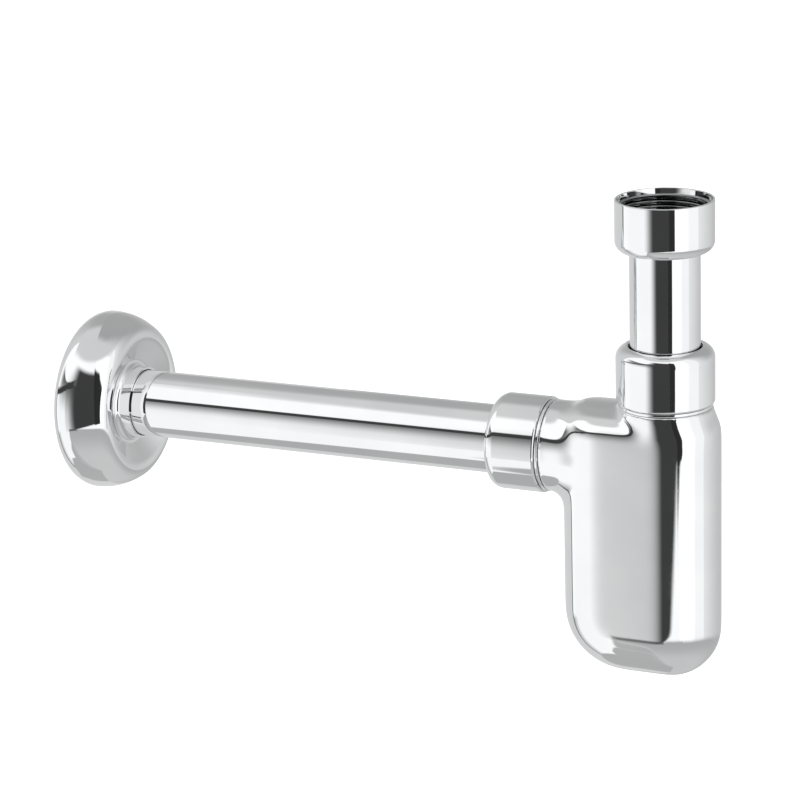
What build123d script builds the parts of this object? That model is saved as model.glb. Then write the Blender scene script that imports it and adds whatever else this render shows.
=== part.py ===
from build123d import *
from math import hypot
import os

# Chrome-plated brass bottle trap with a flat body, a telescopic dip tube and a wall tube.
# Millimetres. The origin is the centre of the inlet washer's top face, where the tail of
# the basin waste seats. +Z is up the inlet tube, and the wall is towards -X.

# Tubes: the standard 32 mm trap tube
TUBE_R = 16.0
TUBE_BORE = 15.0

# Clearances between pieces that move on each other
TUBE_CLEARANCE = 0.3
SEAL_CLEARANCE = 0.05
RING_GAP = 0.15
FACE_GAP = 0.3

# The wall tube's axis lies this far below the origin
AXIS_DROP = 104.0

# G 1 1/4 threads stand as plain cylinders: the coupling nut's own, and the gland nuts'
COUPLING_THREAD_R = 19.475
NUT_THREAD_R = 20.2
SPIGOT_THREAD_R = 20.1

# Coupling nut at the top of the inlet tube
COUPLING_R = 22.4
COUPLING_TOP = 15.8
COUPLING_BOTTOM = -8.0
COUPLING_FLOOR = -5.9
COUPLING_HOLE = 16.5
COUPLING_CORNER = 5.0
THREAD_TOP = 13.2
RELIEF_R = 19.9
RELIEF_TOP = -0.4
MOUTH_R = 21.0
RIM_ROUND = 0.45

# Washer and rolled flange that the coupling nut lifts
WASHER_R = 18.9
WASHER_THICK = 3.0
FLANGE_R = 18.6
FLANGE_THICK = 1.6
FLANGE_ROUND = 0.5

# Lower end of the inlet tube, which dips into the body's water
DIP_END = -182.0

# Spigots, brazed to the body. Their threads start at these places on the two axes
INLET_START = -78.0
OUTLET_START = -56.0
SPIGOT_LENGTH = 14.7
SPIGOT_SEAT_R = 19.2
SPIGOT_SEAT_DEPTH = 3.5
COLLAR_THICK = 1.5
SPIGOT_COLLAR_R = 21.45
TAIL_R = 19.0
TAIL_LENGTH = 5.0

# Gland nuts: a threaded cup with a round shoulder, screwed over each spigot
INLET_NUT_R = 22.44
INLET_NUT_LENGTH = 26.1
OUTLET_NUT_R = 22.3
OUTLET_NUT_LENGTH = 25.7
NUT_DEPTH = 21.9
NUT_HOLE = 16.8
NUT_SHOULDER = 5.4
NUT_EDGE = 0.9

# Cone seal and slip ring, stacked in each spigot's mouth
SEAL_START = 11.7
SEAL_LENGTH = 8.5
SEAL_R = 19.4
SEAL_TIP_R = 16.35
SEAL_CONE_R = 19.25
RING_THICK = 1.5
RING_R = 19.7

# Body: a flat bottle with a crowned top. Its upright edges and its foot share one round, and
# the foot's corner on the wall side is larger
BODY_LEFT = -47.8
BODY_RIGHT = 25.0
BODY_HALF_DEPTH = 22.8
BODY_WALL = 2.0
BODY_BOTTOM = -207.9
BODY_MIDDLE = -150.0
BODY_TOP = -81.0
CROWN_R = 45.0
BODY_ROUND = 21.0
TOP_ROUND = 10.0
FOOT_LEFT_ROUND = 30.0
FOOT_RIGHT_ROUND = 21.6
SHOULDER_TOP = INLET_START - COLLAR_THICK
SHOULDER_HIGH_R = 21.4
SHOULDER_LOW_R = 22.7
NECK_R = 21.2
NECK_START = -15.0
NECK_END = OUTLET_START + COLLAR_THICK
NECK_BLEND = 7.0

# Wall tube, with a rolled line that marks how far it goes into the wall's socket
WALL_TUBE_START = -36.0
WALL_TUBE_END = -306.3
MARK_START = -296.4
MARK_WIDTH = 0.8
MARK_DEPTH = 0.25

# Escutcheon: a collar, a dish, a crest, a domed side and a rolled rim, as tangent lines
# and arcs on its outside face. Each arc is (radius, turn in degrees)
SHEET = 1.0
ESCUTCHEON_FRONT = -268.0
ESCUTCHEON_DEPTH = 29.0
ESCUTCHEON_BORE = 16.3
ESCUTCHEON_LIMIT = 50.0
COLLAR_LENGTH = 4.9
DISH_CORNER = (2.4, -118.5)
DISH_LENGTH = 10.0
CREST = (6.4, 83.5)
DOME = (30.0, 33.0)
ROLLED_RIM = (9.8, 67.0)

# Grip ring behind the escutcheon's collar
GRIP_R = 19.4
GRIP_START = -278.2
GRIP_LENGTH = 4.0


def turned(points):
    """Solid turned about Z from a closed outline of (radius, height) points."""
    outline = Polyline(*[(r, 0, z) for r, z in points], close=True)
    return revolve(make_face(outline), Axis.Z, 360)


def ring(inner, outer, low, high):
    return turned([(inner, low), (outer, low), (outer, high), (inner, high)])


def round_edge(solid, radius, height, amount):
    """Round the circular edges about Z that have this radius and height."""
    found = [
        edge
        for edge in solid.edges().filter_by(GeomType.CIRCLE)
        if abs(edge.radius - radius) < 0.01 and abs(edge.arc_center.Z - height) < 0.01
    ]
    return fillet(found, amount)


def on_inlet(solid):
    """Put a solid made about Z on the inlet axis, with z = 0 at the spigot's thread."""
    return Pos(0, 0, INLET_START) * solid


def on_wall_axis(solid, start):
    """Lay a solid made about Z on the wall tube's axis, from x = start towards the wall."""
    return Pos(start, 0, -AXIS_DROP) * Rot(0, -90, 0) * solid


def coupling_nut():
    nut = turned([
        (COUPLING_HOLE, COUPLING_BOTTOM),
        (COUPLING_R, COUPLING_BOTTOM),
        (COUPLING_R, COUPLING_TOP),
        (MOUTH_R, COUPLING_TOP),
        (COUPLING_THREAD_R, THREAD_TOP),
        (COUPLING_THREAD_R, 0),
        (RELIEF_R, RELIEF_TOP),
        (RELIEF_R, COUPLING_FLOOR),
        (COUPLING_HOLE, COUPLING_FLOOR),
    ])
    nut = round_edge(nut, COUPLING_R, COUPLING_BOTTOM, COUPLING_CORNER)
    return round_edge(nut, COUPLING_R, COUPLING_TOP, RIM_ROUND)


def inlet_washer():
    return ring(TUBE_BORE, WASHER_R, -WASHER_THICK, 0)


def coupling_slip_ring():
    low = COUPLING_FLOOR + RING_GAP
    high = -WASHER_THICK - FLANGE_THICK - FACE_GAP
    return ring(TUBE_R + SEAL_CLEARANCE, WASHER_R, low, high)


def inlet_tube():
    """Dip tube with a rolled flange at its top."""
    flange_top = -WASHER_THICK
    flange_low = flange_top - FLANGE_THICK
    tube = turned([
        (TUBE_BORE, DIP_END),
        (TUBE_R, DIP_END),
        (TUBE_R, flange_low),
        (FLANGE_R, flange_low),
        (FLANGE_R, flange_top),
        (TUBE_BORE, flange_top),
    ])
    return round_edge(tube, FLANGE_R, flange_low, FLANGE_ROUND)


def gland_nut(radius, length):
    """Gland nut that stands clear of the spigot's collar, its cap at the far end."""
    low, high = FACE_GAP, FACE_GAP + length
    nut = turned([
        (NUT_THREAD_R, low),
        (radius, low),
        (radius, high),
        (NUT_HOLE, high),
        (NUT_HOLE, low + NUT_DEPTH),
        (NUT_THREAD_R, low + NUT_DEPTH),
    ])
    nut = round_edge(nut, radius, high, NUT_SHOULDER)
    return round_edge(nut, radius, low, NUT_EDGE)


def spigot():
    """Threaded spigot: a tail in the body's hole, a collar, the thread and a cone seat."""
    bore = TUBE_R + TUBE_CLEARANCE
    tail_end = -COLLAR_THICK - TAIL_LENGTH
    return turned([
        (bore, tail_end),
        (TAIL_R, tail_end),
        (TAIL_R, -COLLAR_THICK),
        (SPIGOT_COLLAR_R, -COLLAR_THICK),
        (SPIGOT_COLLAR_R, 0),
        (SPIGOT_THREAD_R, 0),
        (SPIGOT_THREAD_R, SPIGOT_LENGTH),
        (SPIGOT_SEAT_R, SPIGOT_LENGTH),
        (bore, SPIGOT_LENGTH - SPIGOT_SEAT_DEPTH),
    ])


def cone_seal():
    """Rubber seal whose cone sits in the spigot's mouth."""
    grip = TUBE_R + SEAL_CLEARANCE
    cone_end = SPIGOT_LENGTH + FACE_GAP
    high = SEAL_START + SEAL_LENGTH
    return turned([
        (grip, SEAL_START),
        (SEAL_TIP_R, SEAL_START),
        (SEAL_CONE_R, cone_end),
        (SEAL_R, cone_end),
        (SEAL_R, high),
        (grip, high),
    ])


def slip_ring():
    low = SEAL_START + SEAL_LENGTH + FACE_GAP
    return ring(TUBE_R + TUBE_CLEARANCE, RING_R, low, low + RING_THICK)


def bottle_upper(inset):
    """Upright half of the bottle, with a crowned and rounded top."""
    left, right = BODY_LEFT + inset, BODY_RIGHT - inset
    length, depth = right - left, 2 * (BODY_HALF_DEPTH - inset)
    middle = (left + right) / 2
    outline = RectangleRounded(length, depth, BODY_ROUND - inset)
    block = Pos(middle, 0, BODY_MIDDLE) * extrude(outline, BODY_TOP - inset - BODY_MIDDLE)
    crown = Rot(0, 90, 0) * ring(0, CROWN_R - inset, -length, length)
    block &= Pos(middle, 0, BODY_TOP - CROWN_R) * crown
    top = block.faces().sort_by(Axis.Z)[-1]
    return fillet(top.edges(), TOP_ROUND - inset)


def bottle_lower(inset):
    """Foot of the bottle: an upright plate with two large corners and rounded edges."""
    left, right = BODY_LEFT + inset, BODY_RIGHT - inset
    bottom = BODY_BOTTOM + inset
    plate = Rectangle(right - left, BODY_MIDDLE - bottom)
    for end, amount in ((0, FOOT_LEFT_ROUND), (-1, FOOT_RIGHT_ROUND)):
        corner = plate.vertices().group_by(Axis.Y)[0].sort_by(Axis.X)[end]
        plate = fillet(corner, amount - inset)
    middle = ((left + right) / 2, 0, (bottom + BODY_MIDDLE) / 2)
    upright = Plane(middle, x_dir=(1, 0, 0), z_dir=(0, -1, 0))
    solid = extrude(upright * plate, BODY_HALF_DEPTH - inset, both=True)
    top = solid.faces().sort_by(Axis.Z)[-1]
    rims = [edge for edge in solid.edges() if abs(edge.center().Y) > 1]
    rims = [edge for edge in rims if edge.center().Z < top.center().Z - 0.01]
    return fillet(rims, BODY_ROUND - inset)


def bottle(inset):
    """Flat bottle, moved inwards by inset all over."""
    return bottle_upper(inset) + bottle_lower(inset)


def shoulder():
    """Slanted cone that leads from the bottle's round end up to the inlet spigot."""
    low_centre = BODY_RIGHT - SHOULDER_LOW_R
    low = Pos(low_centre, 0, BODY_TOP - TOP_ROUND) * Circle(SHOULDER_LOW_R)
    high = Pos(0, 0, SHOULDER_TOP) * Circle(SHOULDER_HIGH_R)
    return loft([low, high])


def neck(radius):
    """Cylinder on the wall tube's axis, from inside the bottle to the spigot's collar."""
    outline = ring(0, radius, 0, NECK_START - NECK_END)
    return on_wall_axis(outline, NECK_START)


def blend_neck(shell):
    """Round the inner corner where the neck's cylinder leaves the bottle."""
    def on_neck(point):
        return abs(hypot(point.Y, point.Z + AXIS_DROP) - NECK_R) < 0.01

    corner = [
        edge
        for edge in shell.edges()
        if all(on_neck(edge @ t) for t in (0, 0.5, 1)) and edge.center().X > NECK_END + 1
    ]
    return fillet(corner, NECK_BLEND)


def trap_body():
    shell = blend_neck(bottle(0) + neck(NECK_R)) + shoulder()
    inlet_hole = ring(0, TAIL_R, BODY_TOP - TOP_ROUND, SHOULDER_TOP)
    return shell - bottle(BODY_WALL) - neck(TAIL_R) - inlet_hole


def wall_tube():
    length = WALL_TUBE_START - WALL_TUBE_END
    mark = WALL_TUBE_START - MARK_START
    tube = turned([
        (TUBE_BORE, 0),
        (TUBE_R, 0),
        (TUBE_R, mark),
        (TUBE_R - MARK_DEPTH, mark),
        (TUBE_R - MARK_DEPTH, mark + MARK_WIDTH),
        (TUBE_R, mark + MARK_WIDTH),
        (TUBE_R, length),
        (TUBE_BORE, length),
    ])
    return on_wall_axis(tube, WALL_TUBE_START)


def escutcheon():
    """Sheet cover, drawn as (radius, depth behind its front) and turned about the tube."""
    outer = ESCUTCHEON_BORE + SHEET
    collar = Line((outer, 0), (outer, COLLAR_LENGTH))
    corner = JernArc(collar @ 1, collar % 1, *DISH_CORNER)
    dish = Line(corner @ 1, corner @ 1 + corner % 1 * DISH_LENGTH)
    crest = JernArc(dish @ 1, dish % 1, *CREST)
    dome = JernArc(crest @ 1, crest % 1, *DOME)
    rim = JernArc(dome @ 1, dome % 1, *ROLLED_RIM)
    outside = Wire([piece.edge() for piece in (collar, corner, dish, crest, dome, rim)])
    section = make_face(offset(outside, SHEET, side=Side.RIGHT, closed=True).edges())
    cover = revolve(Plane.XZ * section, Axis.Z, 360)
    cover &= ring(0, ESCUTCHEON_LIMIT, 0, ESCUTCHEON_DEPTH)
    return on_wall_axis(cover, ESCUTCHEON_FRONT)


def grip_ring():
    grip = ring(TUBE_R + SEAL_CLEARANCE, GRIP_R, 0, GRIP_LENGTH)
    return on_wall_axis(grip, GRIP_START)


pieces = {
    "inlet_coupling_nut": coupling_nut(),
    "inlet_washer": inlet_washer(),
    "coupling_slip_ring": coupling_slip_ring(),
    "inlet_tube": inlet_tube(),
    "inlet_gland_nut": on_inlet(gland_nut(INLET_NUT_R, INLET_NUT_LENGTH)),
    "inlet_slip_ring": on_inlet(slip_ring()),
    "inlet_cone_seal": on_inlet(cone_seal()),
    "inlet_spigot": on_inlet(spigot()),
    "trap_body": trap_body(),
    "outlet_spigot": on_wall_axis(spigot(), OUTLET_START),
    "outlet_cone_seal": on_wall_axis(cone_seal(), OUTLET_START),
    "outlet_slip_ring": on_wall_axis(slip_ring(), OUTLET_START),
    "outlet_gland_nut": on_wall_axis(gland_nut(OUTLET_NUT_R, OUTLET_NUT_LENGTH), OUTLET_START),
    "wall_tube": wall_tube(),
    "escutcheon_grip_ring": grip_ring(),
    "wall_escutcheon": escutcheon(),
}

os.makedirs("parts", exist_ok=True)
for name, solid in pieces.items():
    export_step(solid, f"parts/{name}.step")
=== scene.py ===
import math

import bmesh
import bpy
from mathutils import Matrix, Vector


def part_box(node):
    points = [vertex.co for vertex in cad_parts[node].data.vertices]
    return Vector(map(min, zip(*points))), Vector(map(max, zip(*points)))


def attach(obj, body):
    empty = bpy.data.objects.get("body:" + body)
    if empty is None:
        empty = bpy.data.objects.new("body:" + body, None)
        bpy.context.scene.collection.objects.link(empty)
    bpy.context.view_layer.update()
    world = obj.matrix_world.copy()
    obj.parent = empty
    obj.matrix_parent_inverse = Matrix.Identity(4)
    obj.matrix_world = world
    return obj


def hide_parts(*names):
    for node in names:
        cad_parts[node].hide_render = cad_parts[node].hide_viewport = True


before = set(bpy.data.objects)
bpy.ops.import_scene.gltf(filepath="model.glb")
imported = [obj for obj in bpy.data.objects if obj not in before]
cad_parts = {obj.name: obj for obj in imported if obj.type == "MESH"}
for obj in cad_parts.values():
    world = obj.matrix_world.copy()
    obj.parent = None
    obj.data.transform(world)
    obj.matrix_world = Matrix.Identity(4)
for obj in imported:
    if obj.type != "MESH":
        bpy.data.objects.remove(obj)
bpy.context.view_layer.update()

MM = 0.001
INLET_AXIS_TO_WALL_AXIS = 104 * MM

# G 1 1/4 thread, with its rounded crests and roots
PITCH = 2.309 * MM
THREAD_DEPTH = 1.2 * MM
SPIGOT_ROOT_R = 19.5 * MM
NUT_CREST_R = 19.8 * MM
COUPLING_CREST_R = 19.475 * MM

# Fineness of the turned meshes
STEPS_PER_PITCH = 14
SEGMENTS = 160
EDGE_STEPS, RIM_STEPS, ROUND_STEPS = 4, 6, 20
BRACE = 0.12 * MM
LONG_STRAIGHT = 6 * BRACE
SHARP_ANGLE = math.radians(28)

# Holes and bores
TUBE_HOLE_R = 16.8 * MM
COUPLING_HOLE_R = 16.5 * MM
SPIGOT_BORE_R = 16.3 * MM

# Gland nuts: heights are from the open mouth
NUT_CAVITY = 21.9 * MM
NUT_THREAD_START = 1.2 * MM
NUT_THREAD_LENGTH = 15.0 * MM
NUT_THREAD_RELIEF = 1.2 * MM
NUT_MOUTH_EASE = 0.1 * MM
NUT_SHOULDER = 5.4 * MM
NUT_EDGE = 0.9 * MM
NUT_HOLE_EDGE = 0.35 * MM

# Coupling nut: its stepped mouth, its floor and the relief under its thread
COUPLING_CORNER = 5.0 * MM
COUPLING_RIM = 0.45 * MM
COUPLING_HOLE_EDGE = 0.3 * MM
COUPLING_MOUTH_R = 21.3 * MM
COUPLING_MOUTH_DEPTH = 2.6 * MM
COUPLING_MOUTH_TAPER = 0.35 * MM
COUPLING_FLOOR = 2.1 * MM
COUPLING_THREAD_START = 8 * MM
COUPLING_THREAD_END_GAP = 0.4 * MM
COUPLING_RELIEF_R = 20.5 * MM
COUPLING_RELIEF_STEP = 0.8 * MM

# Spigots: tail in the body, collar, and cone seat in the mouth
SPIGOT_TAIL = 6.5 * MM
SPIGOT_TAIL_R = 19.0 * MM
SPIGOT_THREAD_START = 0.3 * MM
SPIGOT_THREAD_END_GAP = 0.6 * MM
COLLAR = 1.5 * MM
COLLAR_R = 21.45 * MM
COLLAR_EDGE = 0.35 * MM
CONE_SEAT_R = 19.2 * MM
CONE_SEAT_DEPTH = 3.5 * MM

# Polishing of the body, and the fuller sides of its neck
BODY_GRID = 0.9 * MM
POLISH_PASSES = 90
POLISH_STRENGTH = 0.5
MOUTH_MARGIN = 6 * MM
MOUTH_KEPT = 0.2
FLARE = 0.9 * MM
FLARE_MIDDLE = -41 * MM
FLARE_REACH = 13 * MM
FLARE_SIDE = 21 * MM

# View: the camera's angles, its target and distance in metres, and its lens in millimetres
VIEW_AZIMUTH, VIEW_ELEVATION, VIEW_ROLL = (math.radians(a) for a in (24.626, 16.549, -1.738))
VIEW_TARGET = Vector((-0.1317, 0, 0.01412 - INLET_AXIS_TO_WALL_AXIS))
VIEW_DISTANCE = 1.46
VIEW_LENS, VIEW_SENSOR = 140.05, 36
VIEW_CLIP = 50

INLET_AXIS = Matrix.Identity(4)
WALL_AXIS = (Matrix.Translation((0, 0, -INLET_AXIS_TO_WALL_AXIS))
             @ Matrix.Rotation(math.radians(-90), 4, "Y"))


# Turned pieces. An outline is a list of (radius, height, thread depth) points

def plain(*points):
    """Outline points without thread."""
    return [(r, z, 0) for r, z in points]


def arc(radius, centre, start, end, steps):
    """Points of an arc between two angles, in degrees from the outward radius towards +Z."""
    angles = [math.radians(start + (end - start) * i / steps) for i in range(steps + 1)]
    return plain(*[(centre[0] + radius * math.cos(a), centre[1] + radius * math.sin(a))
                   for a in angles])


def threaded(root_radius, low, high):
    """Points up a thread, which fades in and out over half a turn at its two ends."""
    steps = round((high - low) / PITCH * STEPS_PER_PITCH)
    heights = [low + (high - low) * i / steps for i in range(steps + 1)]
    fade = PITCH / 2
    return [(root_radius, z, THREAD_DEPTH * min(1, (z - low) / fade, (high - z) / fade))
            for z in heights]


def thread_height(z, angle):
    """Height of the thread's flank there, from 0 at its root to 1 at its crest."""
    return 0.5 - 0.5 * math.cos(2 * math.pi * z / PITCH - angle)


def braced(outline):
    """The outline with a point close to each end of its long straights, so that they shade flat."""
    points = []
    for (r, z, depth), (next_r, next_z, _) in zip(outline, outline[1:] + outline[:1]):
        points.append((r, z, depth))
        length = math.hypot(next_r - r, next_z - z)
        if length > LONG_STRAIGHT:
            share = BRACE / length
            for t in (share, 1 - share):
                points.append((r + (next_r - r) * t, z + (next_z - z) * t, 0))
    return points


def turned(name, outline, axis):
    """Closed solid made by turning the outline about an axis, with its thread cut in."""
    outline = braced(outline)
    shape = bmesh.new()
    rings = []
    for i in range(SEGMENTS):
        angle = 2 * math.pi * i / SEGMENTS
        ring = []
        for radius, z, depth in outline:
            r = radius + depth * thread_height(z, angle)
            place = Vector((r * math.cos(angle), r * math.sin(angle), z))
            ring.append(shape.verts.new(axis @ place))
        rings.append(ring)
    for here, there in zip(rings, rings[1:] + rings[:1]):
        for i in range(len(outline)):
            j = (i + 1) % len(outline)
            shape.faces.new((here[i], here[j], there[j], there[i]))
    bmesh.ops.recalc_face_normals(shape, faces=shape.faces)
    mesh = bpy.data.meshes.new(name)
    shape.to_mesh(mesh)
    shape.free()
    mesh.shade_smooth()
    mesh.set_sharp_from_angle(angle=SHARP_ANGLE)
    piece = bpy.data.objects.new(name, mesh)
    bpy.context.scene.collection.objects.link(piece)
    return piece


def extent(node, axis):
    """Lowest and highest place of a CAD node along an axis, and its outer radius."""
    low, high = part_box(node)
    radius = (high.y - low.y) / 2
    if axis is INLET_AXIS:
        return low.z, high.z, radius
    return -high.x, -low.x, radius


def gland_nut(name, node, axis):
    """Nut with a threaded mouth at its low end and a round shoulder at its high end."""
    low, high, radius = extent(node, axis)
    thread_low, thread_high = low + NUT_THREAD_START, low + NUT_THREAD_LENGTH
    cavity_top = low + NUT_CAVITY
    cavity_r = NUT_CREST_R + THREAD_DEPTH
    hole_edge = (TUBE_HOLE_R + NUT_HOLE_EDGE, high - NUT_HOLE_EDGE)
    shoulder = (radius - NUT_SHOULDER, high - NUT_SHOULDER)
    outer_edge = (radius - NUT_EDGE, low + NUT_EDGE)
    outline = plain((cavity_r + NUT_MOUTH_EASE, low))
    outline += threaded(NUT_CREST_R, thread_low, thread_high)
    outline += plain((cavity_r, thread_high + NUT_THREAD_RELIEF), (cavity_r, cavity_top))
    outline += plain((TUBE_HOLE_R, cavity_top))
    outline += arc(NUT_HOLE_EDGE, hole_edge, 180, 90, EDGE_STEPS)
    outline += arc(NUT_SHOULDER, shoulder, 90, 0, ROUND_STEPS)
    outline += arc(NUT_EDGE, outer_edge, 0, -90, RIM_STEPS)
    return turned(name, outline, axis)


def coupling_nut():
    """Nut with a bright stepped mouth, an open thread and a round lower corner."""
    low, high, radius = extent("inlet_coupling_nut", INLET_AXIS)
    floor_height = low + COUPLING_FLOOR
    thread_low = low + COUPLING_THREAD_START
    thread_high = high - COUPLING_MOUTH_DEPTH - COUPLING_THREAD_END_GAP
    lip = COUPLING_RIM / 2
    hole_edge = (COUPLING_HOLE_R + COUPLING_HOLE_EDGE, low + COUPLING_HOLE_EDGE)
    corner = (radius - COUPLING_CORNER, low + COUPLING_CORNER)
    rim = (radius - COUPLING_RIM, high - COUPLING_RIM)
    outline = plain((COUPLING_HOLE_R, floor_height))
    outline += arc(COUPLING_HOLE_EDGE, hole_edge, 180, 270, EDGE_STEPS)
    outline += arc(COUPLING_CORNER, corner, -90, 0, ROUND_STEPS)
    outline += arc(COUPLING_RIM, rim, 0, 90, RIM_STEPS)
    outline += arc(lip, (COUPLING_MOUTH_R + lip, high - lip), 90, 180, EDGE_STEPS)
    outline += plain((COUPLING_MOUTH_R - COUPLING_MOUTH_TAPER, high - COUPLING_MOUTH_DEPTH))
    outline += threaded(COUPLING_CREST_R, thread_low, thread_high)[::-1]
    outline += plain((COUPLING_RELIEF_R, thread_low - COUPLING_RELIEF_STEP),
                     (COUPLING_RELIEF_R, floor_height))
    return turned("coupling_nut_threaded", outline, INLET_AXIS)


def paint_shade_in_thread(nut):
    """Gives the inside of the coupling nut, below its bright mouth, the nut's second material.
    Its darker colour is painted shade in the recess.
    """
    low, _, _ = extent("inlet_coupling_nut", INLET_AXIS)
    slack = 0.1 * MM
    widest = COUPLING_MOUTH_R - COUPLING_MOUTH_TAPER - slack / 2
    for face in nut.data.polygons:
        inside = math.hypot(face.center.x, face.center.y) < widest
        face.material_index = int(inside and face.center.z > low + COUPLING_FLOOR - slack)


def spigot(name, node, axis):
    """Threaded ring with a collar, a tail in the body and a cone seat in its mouth."""
    low, high, _ = extent(node, axis)
    start = low + SPIGOT_TAIL
    collar_low = start - COLLAR
    edge_r = COLLAR_R - COLLAR_EDGE
    thread_low, thread_high = start + SPIGOT_THREAD_START, high - SPIGOT_THREAD_END_GAP
    outline = plain((SPIGOT_BORE_R, low), (SPIGOT_TAIL_R, low), (SPIGOT_TAIL_R, collar_low))
    outline += arc(COLLAR_EDGE, (edge_r, collar_low + COLLAR_EDGE), -90, 0, EDGE_STEPS)
    outline += arc(COLLAR_EDGE, (edge_r, start - COLLAR_EDGE), 0, 90, EDGE_STEPS)
    outline += plain((SPIGOT_ROOT_R, start))
    outline += threaded(SPIGOT_ROOT_R, thread_low, thread_high)
    outline += plain((CONE_SEAT_R, high), (SPIGOT_BORE_R, high - CONE_SEAT_DEPTH))
    return turned(name, outline, axis)


# Body

def copied(name, node):
    """New object with a copy of a CAD node's mesh."""
    piece = bpy.data.objects.new(name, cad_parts[node].data.copy())
    piece.data.materials.clear()
    bpy.context.scene.collection.objects.link(piece)
    return piece


def bake_modifiers(piece):
    """Makes a piece's modifiers part of its mesh."""
    bpy.context.view_layer.update()
    evaluated = piece.evaluated_get(bpy.context.evaluated_depsgraph_get())
    mesh = bpy.data.meshes.new_from_object(evaluated)
    piece.modifiers.clear()
    piece.data = mesh


def clamped(value, low, high):
    return max(low, min(high, value))


def flare(point):
    """Moves a point of the neck out in depth, most at the neck's middle and at its sides."""
    along = (point.x - FLARE_MIDDLE) / FLARE_REACH
    if abs(along) < 1:
        side = clamped(point.y / FLARE_SIDE, -1.0, 1.0)
        point.y += FLARE * (1 - along * along) ** 2 * side * abs(side)


def polished_body():
    """The cast body with its flats, rounds, neck and shoulder run into each other by polishing.
    The two mouths that carry the spigots keep their shape."""
    piece = copied("trap_body_polished", "trap_body")
    remesh = piece.modifiers.new("even_grid", "REMESH")
    remesh.mode = "VOXEL"
    remesh.voxel_size = BODY_GRID
    bake_modifiers(piece)
    low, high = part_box("trap_body")
    softened = piece.vertex_groups.new(name="softened")
    for vertex in piece.data.vertices:
        flare(vertex.co)
        room = min(high.z - vertex.co.z, vertex.co.x - low.x)
        weight = clamped(room / MOUTH_MARGIN - MOUTH_KEPT, 0.0, 1.0)
        softened.add([vertex.index], weight, "REPLACE")
    smooth = piece.modifiers.new("polish", "SMOOTH")
    smooth.factor = POLISH_STRENGTH
    smooth.iterations = POLISH_PASSES
    smooth.vertex_group = softened.name
    bake_modifiers(piece)
    piece.data.shade_smooth()
    return piece


# Materials

class Graph:
    """Adds and links the nodes of one node tree."""

    # Where a colour Mix node keeps its two colours and its result
    MIX_COLOURS, MIX_RESULT = (6, 7), 2

    def __init__(self, owner):
        owner.use_nodes = True
        self.tree = owner.node_tree
        self.tree.nodes.clear()

    def add(self, kind, inputs=None, **settings):
        """New node. An input is either a socket to link from or a constant."""
        node = self.tree.nodes.new(kind)
        for name, value in settings.items():
            setattr(node, name, value)
        for key, value in (inputs or {}).items():
            if isinstance(value, bpy.types.NodeSocket):
                self.tree.links.new(value, node.inputs[key])
            else:
                node.inputs[key].default_value = value
        return node

    def place(self):
        """Place on the object, in metres."""
        return self.add("ShaderNodeTexCoord").outputs["Object"]

    def math(self, operation, *values):
        node = self.add("ShaderNodeMath", dict(enumerate(values)), operation=operation)
        return node.outputs[0]

    def spread(self, value, low, high, to_low=0.0, to_high=1.0, smooth=True):
        """Maps low..high to to_low..to_high, without going past either end."""
        node = self.add("ShaderNodeMapRange", {"Value": value, "From Min": low, "From Max": high,
                                               "To Min": to_low, "To Max": to_high})
        node.interpolation_type = "SMOOTHSTEP" if smooth else "LINEAR"
        return node.outputs["Result"]

    def noise(self, place, scale, detail=3.0, stretch=(1, 1, 1)):
        mapping = self.add("ShaderNodeMapping", {"Vector": place, "Scale": stretch})
        texture = self.add("ShaderNodeTexNoise", {"Vector": mapping.outputs[0], "Scale": scale,
                                                  "Detail": detail})
        return texture.outputs["Fac"]

    def blend(self, factor, first, second):
        """Colour between two constant colours."""
        node = self.add("ShaderNodeMix", {"Factor": factor}, data_type="RGBA")
        for socket, colour in zip(self.MIX_COLOURS, (first, second)):
            node.inputs[socket].default_value = (*colour, 1)
        return node.outputs[self.MIX_RESULT]

    def surface(self, inputs):
        """Ends a material in a Principled shader."""
        shader = self.add("ShaderNodeBsdfPrincipled", inputs)
        self.add("ShaderNodeOutputMaterial", {"Surface": shader.outputs[0]})


# Roughness is given between the hairlines and on them, and relief in metres
PLATE_COLOURS = (0.79, 0.80, 0.81), (0.83, 0.835, 0.84)
SMUDGE_SCALE, HAIRLINE_SCALE = 38, 900
HAIRLINE_ROUGHNESS = 0.02, 0.035
PLATE_RELIEF = 0.00001


def chrome(name, lines=(1, 1, 1), dull=0.02, grain=2600, tone=1.0):
    """Bright chrome plate: faint smudges, hairlines stretched along lines and fine pores."""
    darker, lighter = ([tone * part for part in colour] for colour in PLATE_COLOURS)
    material = bpy.data.materials.new(name)
    graph = Graph(material)
    place = graph.place()
    smudge = graph.noise(place, SMUDGE_SCALE, 4)
    hairline = graph.noise(place, HAIRLINE_SCALE, 2, lines)
    pore = graph.noise(place, grain, 2)
    finest, coarsest = HAIRLINE_ROUGHNESS
    smudged = graph.spread(smudge, 0.42, 0.75, 0.0, dull)
    scratched = graph.spread(hairline, 0.55, 0.8, finest, coarsest + dull)
    relief = graph.math("ADD", pore, hairline)
    bump = graph.add("ShaderNodeBump", {"Height": relief, "Strength": 0.05,
                                        "Distance": PLATE_RELIEF})
    graph.surface({
        "Base Color": graph.blend(graph.spread(smudge, 0.35, 0.7), darker, lighter),
        "Metallic": 1.0,
        "Roughness": graph.math("ADD", smudged, scratched),
        "Normal": bump.outputs["Normal"],
    })
    return material


CLOUD_SCALE = 90
SPECK_SHARE = 0.4
ROUGHNESS_SPREAD = 0.08


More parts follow.
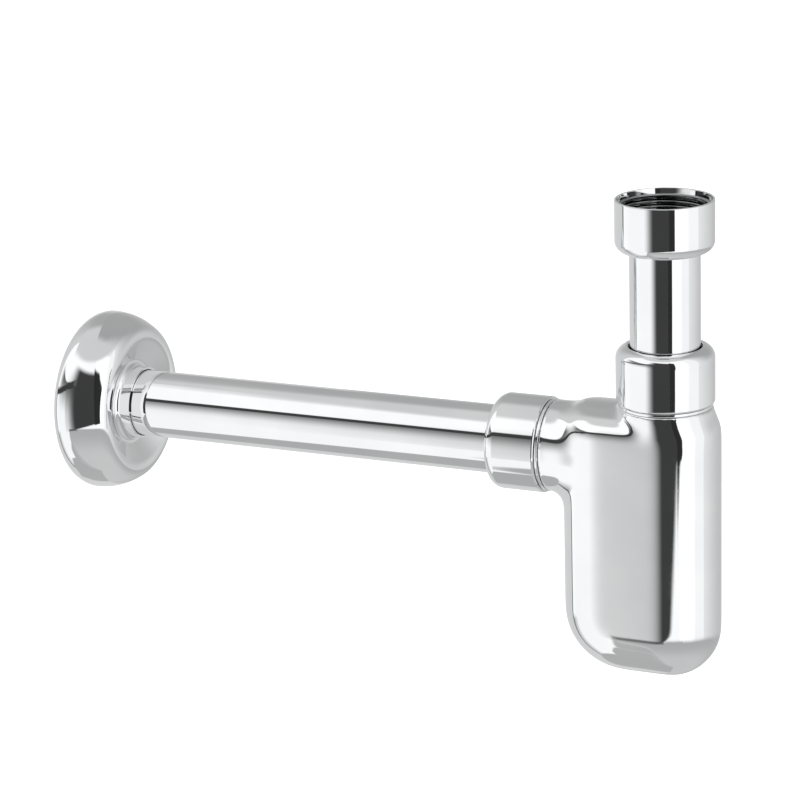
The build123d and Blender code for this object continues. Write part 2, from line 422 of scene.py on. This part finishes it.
def moulded(name, dark, light, grain, roughness, relief):
    """Moulded rubber or plastic: uneven tone, a fine grain and a soft sheen."""
    material = bpy.data.materials.new(name)
    graph = Graph(material)
    place = graph.place()
    cloud = graph.noise(place, CLOUD_SCALE, 4)
    speck = graph.noise(place, grain, 3)
    cloud_part = graph.math("MULTIPLY", cloud, 1 - SPECK_SHARE)
    tone = graph.math("MULTIPLY_ADD", speck, SPECK_SHARE, cloud_part)
    bump = graph.add("ShaderNodeBump", {"Height": tone, "Strength": 0.5, "Distance": relief})
    graph.surface({
        "Base Color": graph.blend(graph.spread(tone, 0.3, 0.7), dark, light),
        "Roughness": graph.spread(speck, 0.3, 0.7, roughness - ROUGHNESS_SPREAD,
                                  roughness + ROUGHNESS_SPREAD),
        "Normal": bump.outputs["Normal"],
    })
    return material


# Studio. Soft panels stand all round the object and show in its chrome. Directions are degrees
# across from the camera's side, to the right, and heights are degrees above the horizon

WHITE, BRIGHT, PALE, GREY, DARK = 1.35, 1.15, 0.74, 0.50, 0.055
FULL_DOWN, FULL_UP = -200, 200
LEFT_EDGE, RIGHT_EDGE = -117, 77
CEILING = 62
FLOOR_EDGE = -24
FLOOR_LIGHT = 0.66, GREY
SOFTBOX_FOOT = -59
SLANT_LOW, SLANT_BEND, SLANT_TOP = -68, -51, -46.5
DARK_RIGHT = 18
BEHIND, RIGHT_LIGHT, BEHIND_LIGHT = 140, 0.95, 0.60
FADE = 38
CAMERA_SEES = 2.0

# A panel is its left and right ends, its lower and upper edges, its light, and how wide its left,
# right, lower and upper edges fade. An edge that slopes has a height at each end, and a light that
# changes with height is given at the foot and at the top. Later panels lie over earlier ones
PANELS = (
    # The walls beside and behind the camera
    (LEFT_EDGE, 12, FULL_DOWN, FULL_UP, 1.2, (1, 1, 1, 1)),
    (10, RIGHT_EDGE, FULL_DOWN, FULL_UP, WHITE, (1, 2, 1, 1)),
    (48, RIGHT_EDGE, FULL_DOWN, FULL_UP, 1.12, (14, 2, 1, 1)),
    # The ceiling and the floor, all round
    (-400, 400, CEILING, FULL_UP, PALE, (1, 1, 8, 1)),
    (-400, 400, FULL_DOWN, FLOOR_EDGE, FLOOR_LIGHT, (1, 1, 1, 4)),
    # The far left, and two grey screens behind the object
    (-200, LEFT_EDGE, FULL_DOWN, FULL_UP, PALE, (1, 1, 1, 1)),
    (105, 400, 8, 82, 0.44, (60, 1, 34, 14)),
    (-400, -150, 12, 58, 0.46, (1, 50, 30, 14)),
    # The left softbox, which darkens towards its top, with a sloping bar and a post
    (-101, -26, SOFTBOX_FOOT, 29, (BRIGHT, 0.16), (26, 2, 3, 2)),
    (-118, -36, (-2, 27), (2, 37), DARK, (2, 12, 2, 3)),
    (LEFT_EDGE, -113, -60, 3, 0.12, (2, 2, 2, 2)),
    # The floor again, in front of the softbox. Its edge climbs to the right, and where the climb
    # ends a short dark line runs along it
    (-200, SLANT_LOW, -90, SOFTBOX_FOOT, GREY, (1, 2, 1, 2)),
    (SLANT_LOW, SLANT_BEND, -90, (SOFTBOX_FOOT, -40), (0.60, GREY), (1, 1, 1, 2)),
    (SLANT_BEND, SLANT_TOP, -90, (-40, FLOOR_EDGE), (0.64, GREY), (1, 1, 1, 2)),
    (SLANT_TOP, DARK_RIGHT, -90, FLOOR_EDGE, FLOOR_LIGHT, (1, 1, 1, 2)),
    (SLANT_TOP, -30, -26, FLOOR_EDGE, 0.25, (1, 2, 1, 1)),
    # The dark gap round the camera, with its darkest strip at the right
    (-43, DARK_RIGHT, (-26.3, -15.6), (52, 44), DARK, (25, 2, 2, 8)),
    (5, 17, (-19, -17), (52, 44), 0.03, (2, 1, 1, 8)),
)


def pair(value):
    """Two values, which are the same if only one is given."""
    return value if isinstance(value, tuple) else (value, value)


def sloped(graph, across, left, right, heights):
    """Height of a straight edge between its two ends."""
    at_left, at_right = pair(heights)
    slope = (at_right - at_left) / (right - left)
    return graph.math("MULTIPLY_ADD", across, slope, at_left - slope * left)


def add_panel(graph, level, across, height, left, right, low, high, light, soft):
    """Lays one panel over the light so far."""
    above_foot = graph.math("SUBTRACT", height, sloped(graph, across, left, right, low))
    below_top = graph.math("SUBTRACT", sloped(graph, across, left, right, high), height)
    inside_right = graph.math("SUBTRACT", right, across)
    soft_left, *other_soft = soft
    inside = graph.spread(across, left - soft_left / 2, left + soft_left / 2)
    for distance, fade in zip((inside_right, above_foot, below_top), other_soft):
        inside = graph.math("MULTIPLY", inside, graph.spread(distance, -fade / 2, fade / 2))
    foot_light, top_light = pair(light)
    shade = graph.spread(below_top, 0, FADE, top_light, foot_light)
    return graph.math("MULTIPLY_ADD", inside, graph.math("SUBTRACT", shade, level), level)


def studio_light():
    """World of soft panels. The camera itself sees it white."""
    world = bpy.data.worlds.new("studio")
    bpy.context.scene.world = world
    graph = Graph(world)
    direction = graph.add("ShaderNodeTexCoord").outputs["Generated"]
    turned_by = graph.add("ShaderNodeVectorRotate", {"Vector": direction, "Angle": -VIEW_AZIMUTH},
                          rotation_type="Z_AXIS")
    x, y, z = graph.add("ShaderNodeSeparateXYZ", {0: turned_by.outputs[0]}).outputs
    towards_camera = graph.math("MULTIPLY", y, -1.0)
    across = graph.math("DEGREES", graph.math("ARCTAN2", x, towards_camera))
    height = graph.math("DEGREES", graph.math("ARCSINE", z))
    level = graph.spread(across, RIGHT_EDGE, BEHIND, RIGHT_LIGHT, BEHIND_LIGHT, smooth=False)
    for panel in PANELS:
        level = add_panel(graph, level, across, height, *panel)
    seen = graph.add("ShaderNodeLightPath").outputs["Is Camera Ray"]
    level = graph.math("ADD", level, graph.math("MULTIPLY", seen, CAMERA_SEES))
    background = graph.add("ShaderNodeBackground", {"Color": level})
    graph.add("ShaderNodeOutputWorld", {"Surface": background.outputs[0]})


def floor():
    """Wide pale floor, far enough below for the object's shadow to fade away."""
    half, drop = 12.0, 0.6
    corners = [(x * half, y * half, -drop) for x, y in ((-1, -1), (1, -1), (1, 1), (-1, 1))]
    mesh = bpy.data.meshes.new("floor")
    mesh.from_pydata(corners, [], [(0, 1, 2, 3)])
    ground = bpy.data.objects.new("floor", mesh)
    bpy.context.scene.collection.objects.link(ground)
    material = bpy.data.materials.new("pale_floor")
    graph = Graph(material)
    graph.surface({
        "Base Color": graph.blend(graph.noise(graph.place(), 30), (0.9, 0.9, 0.9),
                                  (0.96, 0.96, 0.96)),
        "Roughness": 0.9,
        "Emission Color": (1, 1, 1, 1),
        "Emission Strength": 0.6,
    })
    mesh.materials.append(material)
    ground.visible_glossy = False


def camera():
    """Camera that looks at the target from the view's side."""
    back = Vector((math.sin(VIEW_AZIMUTH) * math.cos(VIEW_ELEVATION),
                   -math.cos(VIEW_AZIMUTH) * math.cos(VIEW_ELEVATION), math.sin(VIEW_ELEVATION)))
    right = Vector((math.cos(VIEW_AZIMUTH), math.sin(VIEW_AZIMUTH), 0))
    up = back.cross(right)
    tilted_right = math.cos(VIEW_ROLL) * right + math.sin(VIEW_ROLL) * up
    tilted_up = -math.sin(VIEW_ROLL) * right + math.cos(VIEW_ROLL) * up
    data = bpy.data.cameras.new("camera")
    data.lens = VIEW_LENS
    data.sensor_width = VIEW_SENSOR
    data.clip_end = VIEW_CLIP
    eye = bpy.data.objects.new("camera", data)
    axes = Matrix((tilted_right, tilted_up, back)).transposed()
    eye.matrix_world = Matrix.Translation(VIEW_TARGET + back * VIEW_DISTANCE) @ axes.to_4x4()
    bpy.context.scene.collection.objects.link(eye)
    bpy.context.scene.camera = eye


# Assembly

def finish_nodes(finishes):
    """Gives each named CAD node its one material."""
    for node, material in finishes.items():
        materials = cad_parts[node].data.materials
        materials.clear()
        materials.append(material)


def stand_in(piece, node, body, slot, *materials):
    """Shows piece in place of a CAD node, on the node's own body."""
    for material in materials:
        piece.data.materials.append(material)
    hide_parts(node)
    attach(piece, body)


body_chrome = chrome("body_chrome", dull=0.03)
drawn_chrome = chrome("drawn_chrome", lines=(1, 1, 0.06))
drawn_wall_chrome = chrome("drawn_wall_chrome", lines=(0.06, 1, 1))
nut_chrome = chrome("nut_chrome", dull=0.015)
# Chrome darkened to a third of its colour: painted shade for the recessed thread inside the
# coupling nut
painted_shade_thread_chrome = chrome("painted_shade_thread_chrome", dull=0.15, grain=1500, tone=0.3)
spigot_chrome = chrome("spigot_chrome", dull=0.05, grain=1800)
spun_chrome = chrome("spun_chrome", lines=(0.3, 1, 1), dull=0.03)
rubber = moulded("black_rubber", (0.012, 0.012, 0.013), (0.03, 0.03, 0.031), 2400, 0.55, 0.00003)
nylon = moulded("milky_nylon", (0.62, 0.61, 0.57), (0.74, 0.73, 0.69), 1500, 0.42, 0.00001)

finish_nodes({
    "inlet_tube": drawn_chrome, "wall_tube": drawn_wall_chrome,
    "wall_escutcheon": spun_chrome, "inlet_washer": rubber, "inlet_cone_seal": rubber,
    "outlet_cone_seal": rubber, "escutcheon_grip_ring": rubber, "coupling_slip_ring": nylon,
    "inlet_slip_ring": nylon, "outlet_slip_ring": nylon,
})
stand_in(polished_body(), "trap_body", "trap_body", "chrome_body", body_chrome)
open_nut = coupling_nut()
paint_shade_in_thread(open_nut)
stand_in(open_nut, "inlet_coupling_nut", "coupling_nut", "chrome_nuts", nut_chrome, painted_shade_thread_chrome)
for end, axis in (("inlet", INLET_AXIS), ("outlet", WALL_AXIS)):
    nut_node, spigot_node = end + "_gland_nut", end + "_spigot"
    nut = gland_nut(nut_node + "_threaded", nut_node, axis)
    stand_in(nut, nut_node, nut_node, "chrome_nuts", nut_chrome)
    ring = spigot(spigot_node + "_threaded", spigot_node, axis)
    stand_in(ring, spigot_node, "trap_body", "chrome_spigots", spigot_chrome)

floor()
studio_light()
camera()
bpy.context.scene.view_settings.view_transform = "Standard"
